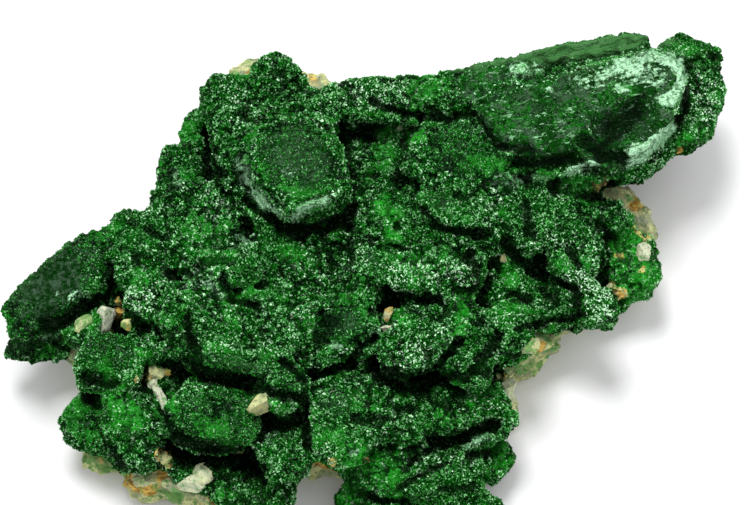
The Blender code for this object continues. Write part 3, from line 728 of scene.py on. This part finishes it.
# Painted light and shade: knob tops are lifted toward middle green and the dips between them stay darker; the
# mottle is the stone's own tone.
colour = (mottle + 0.35 * place.value("knob")).ramp(0.52, 0.86).mix(GREEN_DEEP, GREEN_MIDDLE)
colour = (smooth_here * mottle.ramp(0.40, 0.62) * 0.8).mix(colour, GREEN_MIDDLE)
grey_patches = place.clouds(2.4 * MM, 4, 0.6, turn=2.0).ramp(0.48, 0.60)
colour = (smooth_here * grey_patches * 0.7).mix(colour, GREEN_GREY)
colour = (smooth_here * flecks.ramp(0.52, 0.64) * 0.55).mix(colour, GREEN_SHEEN)
pits = place.clouds(0.9 * MM, 4, 0.75, turn=0.5).ramp(0.54, 0.64)
colour = (smooth_here * pits * 0.85).mix(colour, GREEN_BLACK)
deep_patches = place.clouds(5 * MM, 4, 0.65, (0.5, 1.2, 1), turn=1.3).ramp(0.46, 0.58)
colour = (smooth_here * deep_patches * 0.75).mix(colour, GREEN_DEEP)
pale_streaks = place.clouds(1.1 * MM, 3, 0.7, (0.35, 1.1, 1), turn=-0.25).ramp(0.61, 0.68)
colour = (smooth_here * pale_streaks * 0.9).mix(colour, GREEN_PALE)
mint_specks = place.clouds(0.6 * MM, 3, 0.75, (0.6, 1.1, 1), turn=0.3).ramp(0.63, 0.70)
colour = (smooth_here * mint_specks).mix(colour, GREEN_MINT)
colour = (olive_here + 0.7 * (streaks - 0.5)).ramp(0.35, 0.75).mix(colour, GREEN_OLIVE)
colour = (olive_here * (0.5 * streaks + 0.5 * flecks).ramp(0.48, 0.60) * 0.5).mix(colour, GREEN_SHEEN)
deep_stripes = place.clouds(1.6 * MM, 4, 0.7, (0.3, 1.2, 1), turn=-0.3).ramp(0.52, 0.64)
colour = (olive_here * deep_stripes * 0.6).mix(colour, GREEN_DEEP)
# Painted shade: where little light is painted, the blade colour is darkened towards deep green and grey.
painted_shade = 1 - place.value("light").ramp(0.0, 0.5)
colour = (painted_shade * 0.85).mix(colour, mottle.ramp(0.45, 0.62).mix(GREEN_DEEP, GREEN_GREY))
vivid_here = (place.value("vivid") + 1.3 * (mottle - 0.5) + 0.5 * (flecks - 0.5)).ramp(0.25, 0.90)
fresh_green = place.clouds(0.8 * MM, 4, 0.7, turn=0.4).ramp(0.36, 0.58).mix(GREEN_MIDDLE, GREEN_VIVID)
colour = vivid_here.mix(colour, fresh_green)
pale_specks = place.clouds(0.7 * MM, 3, 0.7, turn=1.7).ramp(0.58, 0.68)
colour = (vivid_here * pale_specks * 0.6).mix(colour, GREEN_PALE)
pale_here = (place.value("pale") + 1.5 * (mottle - 0.5) + 0.9 * (streaks - 0.5)).ramp(0.42, 0.70)
pale_here *= 0.25 + 0.75 * place.clouds(0.9 * MM, 4, 0.7, turn=2.2).ramp(0.43, 0.50)
colour = (pale_here * (0.45 + 0.55 * flecks.ramp(0.42, 0.56))).mix(colour, GREEN_PALE)
colour = (pale_here * (streaks * 0.5 + flecks * 0.5).ramp(0.42, 0.50)).mix(colour, GREEN_MINT)
# Painted glints: tiny mint specks on the rough blades, fewer on smooth faces.
painted_glints = place.clouds(0.26 * MM, 2, 0.6, turn=1.1).ramp(0.65, 0.69) * (1 - 0.9 * smooth_here)
colour = painted_glints.mix(colour, GREEN_MINT)
cream_here = (place.value("cream") + 0.9 * (mottle - 0.5)).ramp(0.30, 0.50)
colour = cream_here.mix(colour, flecks.ramp(0.42, 0.60).mix(ROCK_CREAM, ROCK_OCHRE))
# Painted shade: the blade colour goes near black in hollows, clefts, cracks and under overhangs.
colour = place.value("hollow").mix(colour, GREEN_BLACK)
feed(shader, "Base Color", colour)
feed(shader, "Roughness", 0.45 + 0.25 * mottle)
feed(shader, "Normal", place.bump(place.clouds(0.45 * MM, 3, 0.7) + place.cells(0.5 * MM), 0.25 * MM))
shader.inputs["Specular IOR Level"].default_value = 0.02

crust.data.materials.append(blade_finish)
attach(crust, "root")
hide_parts("malachite")

# Chips of the host rock that the blades grew round and still hold: cream, ochre and clear quartz.
# Each is a small angular stone, set where the photograph shows it, with its foot in malachite or rock.
# A chip is its pixel, half sizes in mm, turn in degrees and shares of quartz, rust and copper.
CHIP_SWELL = 1.6
CHIP_CUTS = 11
CHIP_CUT_DISTANCE = (0.45, 0.75)
CHIP_LIFT = 0.15
CHIP_RELIEF = [(0.18, 0.9 * MM), (0.18, 0.4 * MM)]
CHIPS = [
    ((106, 319), (2.3, 1.4, 2.2), 52, (1.0, 0.0, 0.0)), ((121, 314), (1.2, 1.8, 2.2), 10, (0.0, 1.0, 0.0)),
    ((127, 325), (0.9, 1.0, 1.0), 10, (0.0, 0.5, 0.8)), ((118, 301), (0.7, 1.0, 0.7), 0, (0.2, 0.4, 0.0)),
    ((83, 325), (1.5, 1.3, 1.0), 15, (0.1, 0.0, 0.6)), ((159, 371), (2.0, 1.3, 1.0), 8, (0.0, 0.2, 0.3)),
    ((168, 373), (1.1, 0.8, 0.8), 0, (0.0, 0.9, 0.3)), ((153, 384), (1.2, 0.9, 0.8), 0, (0.8, 0.0, 0.0)),
    ((161, 398), (0.7, 2.8, 0.8), 22, (0.9, 0.0, 0.0)), ((261, 404), (2.1, 1.6, 1.8), 0, (0.0, 0.1, 0.0)),
    ((389, 314), (0.8, 1.4, 0.8), -20, (0.1, 0.6, 0.0)), ((384, 329), (2.3, 0.5, 0.6), 14, (0.8, 0.0, 0.0)),
    ((503, 259), (0.6, 0.7, 0.6), 0, (0.0, 0.2, 0.2)), ((643, 254), (1.4, 1.6, 0.9), 8, (0.6, 0.0, 0.0)),
    ((620, 293), (0.9, 0.7, 0.6), 0, (0.0, 0.7, 0.0)), ((612, 286), (0.9, 0.7, 0.6), 30, (0.2, 0.0, 0.2)),
    ((163, 457), (1.4, 1.2, 0.9), -30, (0.0, 0.2, 0.3)), ((203, 474), (1.5, 1.4, 1.0), 20, (0.4, 0.0, 0.0)),
    ((508, 386), (1.2, 1.4, 0.9), 35, (0.6, 0.0, 0.0)), ((678, 149), (0.8, 0.9, 0.7), 0, (0.0, 0.7, 0.0)),
    ((618, 194), (3.0, 1.4, 1.0), -20, (0.0, 0.2, 0.0)), ((634, 202), (0.9, 0.9, 0.8), 0, (0.0, 1.0, 0.0)),
    ((644, 214), (1.0, 1.4, 0.9), 0, (0.2, 0.0, 0.0)), ((530, 346), (2.0, 1.6, 1.0), 30, (0.0, 0.1, 0.3)),
    ((541, 346), (0.7, 0.7, 0.7), 0, (0.0, 1.0, 0.0)), ((143, 480), (1.7, 1.2, 0.9), 0, (0.2, 0.2, 0.2)),
    ((182, 486), (2.6, 1.2, 1.0), -8, (0.1, 0.0, 0.3)), ((196, 482), (2.4, 1.4, 1.2), 12, (0.5, 0.1, 0.0)),
    ((400, 128), (0.6, 0.5, 0.5), 0, (0.3, 0.0, 0.4))]

blade_faces = BVHTree.FromObject(crust, bpy.context.evaluated_depsgraph_get())
rock_faces = BVHTree.FromObject(rock, bpy.context.evaluated_depsgraph_get())
stones = bmesh.new()
shares = []
for number, (pixel, half, turn, kinds) in enumerate(CHIPS):
    chance = random.Random(number)
    across = (pixel[0] - PHOTO_WIDTH / 2) * SENSOR / LENS / PHOTO_WIDTH
    up = (PHOTO_HEIGHT / 2 - pixel[1]) * SENSOR / LENS / PHOTO_WIDTH
    ray = Vector((across, up * math.sin(CAMERA_HEIGHT), up * math.cos(CAMERA_HEIGHT))) - TO_CAMERA
    hits = [tree.ray_cast(eye.location, ray) for tree in (blade_faces, rock_faces)]
    place_hit = min((hit for hit in hits if hit[0] is not None), key=lambda hit: hit[3], default=None)
    if place_hit is None:
        continue
    ball = bmesh.new()
    bmesh.ops.create_icosphere(ball, subdivisions=3, radius=1.0)
    points = np.array([vertex.co for vertex in ball.verts])
    for cut in range(CHIP_CUTS):
        away = Vector([chance.gauss(0, 1) for axis in range(3)]).normalized()
        past = np.clip(points @ np.array(away) - chance.uniform(*CHIP_CUT_DISTANCE), 0, None)
        points = points - past[:, None] * np.array(away)
    points = points * np.array(half) * CHIP_SWELL * MM
    spin = math.radians(turn)
    points = np.stack([points[:, 0] * math.cos(spin) - points[:, 1] * math.sin(spin),
                       points[:, 0] * math.sin(spin) + points[:, 1] * math.cos(spin), points[:, 2]], axis=1)
    points += np.array(place_hit[0]) + np.array([0, 0, CHIP_LIFT * half[2] * MM])
    points += sum(height * lumps(points, size) for height, size in CHIP_RELIEF)[:, None] * MM
    made = [stones.verts.new(point) for point in points]
    for face in ball.faces:
        stones.faces.new([made[vertex.index] for vertex in face.verts])
    ball.free()
    shares += [kinds] * len(points)
mesh = bpy.data.meshes.new("rock_chips")
stones.to_mesh(mesh)
stones.free()
chips = new_object("rock_chips", mesh)
for name, values in zip(("quartz", "rust", "copper"), np.array(shares).T):
    keep_values(chips, name, values)
mesh.materials.append(host_rock)
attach(chips, "root")
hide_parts("matrix")

# The druse: a sparkling carpet of tiny three-sided malachite crystals that coats nearly every blade.
# Each is 0.2 to 0.7 mm long, roots in the surface and leans its own way; the brightest are mint green.
# The carpet comes in several layers, each with its own seed.
DRUSE_LAYERS = 5
DRUSE_PER_LAYER = 45500
FIRST_SEED = 11
TONE_SEED = 7
CRYSTAL_LENGTH = 0.45 * MM
CRYSTAL_RADIUS = 0.21 * MM
CRYSTAL_ROOT = 0.12 * MM
CRYSTAL_LEAN = 1.0
# The brightest mint tones are partly the crystals' own pale tips and partly painted glints.
DRUSE_TONES = [(0.0, (0.0002, 0.018, 0.0003, 1)), (0.35, (0.001, 0.055, 0.001, 1)),
               (0.56, (0.003, 0.145, 0.003, 1)), (0.69, (0.035, 0.29, 0.035, 1)),
               (0.79, (0.19, 0.54, 0.19, 1)), (0.91, (0.70, 1.0, 0.70, 1))]
DRUSE_GLINT = (0.72, 1.0, 0.72, 1)


class Growth:
    """A tree of geometry nodes, with one call for each node."""

    def __init__(self, name):
        self.tree = bpy.data.node_groups.new(name, "GeometryNodeTree")
        self.tree.interface.new_socket("Geometry", in_out="OUTPUT", socket_type="NodeSocketGeometry")
        self.tree.interface.new_socket("Geometry", in_out="INPUT", socket_type="NodeSocketGeometry")
        self.start = self.tree.nodes.new("NodeGroupInput")

    def input(self, name, kind, default):
        """A named input, as its identifier and its socket."""
        item = self.tree.interface.new_socket(name, in_out="INPUT", socket_type=kind)
        item.default_value = default
        return item.identifier, self.start.outputs[item.identifier]

    def node(self, kind, settings, sockets, output=0):
        made = self.tree.nodes.new(kind)
        for name, value in settings.items():
            setattr(made, name, value)
        for name, value in sockets.items():
            if isinstance(value, bpy.types.NodeSocket):
                self.tree.links.new(value, made.inputs[name])
            else:
                made.inputs[name].default_value = value
        return made.outputs[output]

    def stored(self, name):
        """A number stored on the mesh."""
        return self.node("GeometryNodeInputNamedAttribute", {"data_type": "FLOAT"}, {"Name": name})

    def end(self, geometry):
        finish = self.tree.nodes.new("NodeGroupOutput")
        self.tree.links.new(geometry, finish.inputs[0])


druse_finish, shader, place = new_material("malachite_druse")
# Painted light and shade: each crystal is lighter on knob tops and where light is painted, darker where shade
# is painted; the rest is its own random tone.
tone = (place.value("tone") * 0.80 + 0.10 * place.value("knob") + (place.value("light") - 0.5) * 0.35
        + (place.clouds(7 * MM, 2) - 0.5) * 0.30 + (place.clouds(1.4 * MM, 3) - 0.5) * 0.40)
colour = tone.node("ShaderNodeValToRGB", {"stops": DRUSE_TONES}, {"Fac": tone})
colour = (place.value("vivid").ramp(0.1, 0.9) * 0.8 * (1 - tone.ramp(0.55, 0.85))).mix(colour, GREEN_VIVID)
colour = (place.value("olive") * 0.4).mix(colour, GREEN_OLIVE)
pale_green = place.clouds(0.6 * MM, 3).ramp(0.42, 0.56).mix(GREEN_PALE, GREEN_MINT)
colour = (place.value("pale") * 0.75).mix(colour, pale_green)
# Painted glints: tiny near-white specks on the paler crystals.
painted_glints = place.clouds(0.24 * MM, 2, 0.6, turn=0.7).ramp(0.62, 0.66)
colour = (painted_glints * (1.3 * place.value("tone") - 0.25).ramp(0, 1)).mix(colour, DRUSE_GLINT)
# Painted shade: crystals in hollows, clefts, cracks and under overhangs are painted near black.
colour = (place.value("hollow").ramp(0.10, 0.80) * 0.93).mix(colour, GREEN_BLACK)
feed(shader, "Base Color", colour)
feed(shader, "Roughness", 0.25 + 0.2 * place.clouds(0.5 * MM, 1))
shader.inputs["Specular IOR Level"].default_value = 0.05

growth = Growth("druse")
seed_name, seed = growth.input("Seed", "NodeSocketInt", 0)
density_name, density = growth.input("Crystals per square metre", "NodeSocketFloat", 1e7)
length_name, length = growth.input("Crystal length", "NodeSocketFloat", CRYSTAL_LENGTH)
radius_name, radius = growth.input("Crystal radius", "NodeSocketFloat", CRYSTAL_RADIUS)
local_density = growth.node("ShaderNodeMath", {"operation": "MULTIPLY"},
                            {0: growth.stored("druse_cover"), 1: density})
scattered = growth.tree.nodes.new("GeometryNodeDistributePointsOnFaces")
growth.tree.links.new(growth.start.outputs[0], scattered.inputs["Mesh"])
growth.tree.links.new(local_density, scattered.inputs["Density"])
growth.tree.links.new(seed, scattered.inputs["Seed"])
lean = growth.node("FunctionNodeRandomValue", {"data_type": "FLOAT_VECTOR"},
                   {"Min": (-CRYSTAL_LEAN, -CRYSTAL_LEAN, -math.pi),
                    "Max": (CRYSTAL_LEAN, CRYSTAL_LEAN, math.pi), "Seed": seed})
turned = growth.node("FunctionNodeRotateRotation", {"rotation_space": "LOCAL"},
                     {"Rotation": scattered.outputs["Rotation"], "Rotate By": lean})
chance = growth.node("FunctionNodeRandomValue", {"data_type": "FLOAT"},
                     {2: 0.0, 3: 1.0, "Seed": TONE_SEED}, 1)
toned = growth.node("GeometryNodeStoreNamedAttribute", {"data_type": "FLOAT", "domain": "POINT"},
                    {"Geometry": scattered.outputs["Points"], "Name": "tone", "Value": chance})
by_tone = growth.node("ShaderNodeMath", {"operation": "MULTIPLY_ADD"},
                      {0: growth.stored("tone"), 1: 0.7, 2: 0.6})
by_knob = growth.node("ShaderNodeMath", {"operation": "MULTIPLY_ADD"},
                      {0: growth.stored("knob"), 1: 0.5, 2: 0.75})
size = growth.node("ShaderNodeMath", {"operation": "MULTIPLY"}, {0: by_tone, 1: by_knob})
crystal = growth.node("GeometryNodeMeshCone", {"fill_type": "NGON"},
                      {"Vertices": 3, "Radius Top": 0.0, "Radius Bottom": radius, "Depth": length})
rooted = growth.node("GeometryNodeTransform", {}, {"Geometry": crystal, "Translation": (0, 0, -CRYSTAL_ROOT)})
planted = growth.node("GeometryNodeInstanceOnPoints", {},
                      {"Points": toned, "Instance": rooted, "Rotation": turned, "Scale": size})
real = growth.node("GeometryNodeRealizeInstances", {}, {"Geometry": planted})
growth.end(growth.node("GeometryNodeSetMaterial", {}, {"Geometry": real, "Material": druse_finish}))

cover = np.zeros(len(crust.data.vertices), np.float32)
crust.data.attributes["druse_cover"].data.foreach_get("value", cover)
faces = len(crust.data.polygons)
area = np.zeros(faces, np.float32)
first_corner = np.zeros(faces, np.int32)
corner_points = np.zeros(len(crust.data.loops), np.int32)
crust.data.polygons.foreach_get("area", area)
crust.data.polygons.foreach_get("loop_start", first_corner)
crust.data.loops.foreach_get("vertex_index", corner_points)
covered_area = float((area * np.clip(cover, 0, 1)[corner_points[first_corner]]).sum())

for layer in range(DRUSE_LAYERS):
    druse = new_object(f"malachite_druse_{layer + 1}", crust.data)
    grow = druse.modifiers.new("druse", "NODES")
    grow.node_group = growth.tree
    grow[seed_name] = FIRST_SEED + layer
    grow[density_name] = DRUSE_PER_LAYER / covered_area
    grow[length_name] = CRYSTAL_LENGTH
    grow[radius_name] = CRYSTAL_RADIUS
    carpet = bpy.data.meshes.new_from_object(druse.evaluated_get(bpy.context.evaluated_depsgraph_get()))
    druse.modifiers.clear()
    druse.data = carpet
    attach(druse, "root")
    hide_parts("malachite")
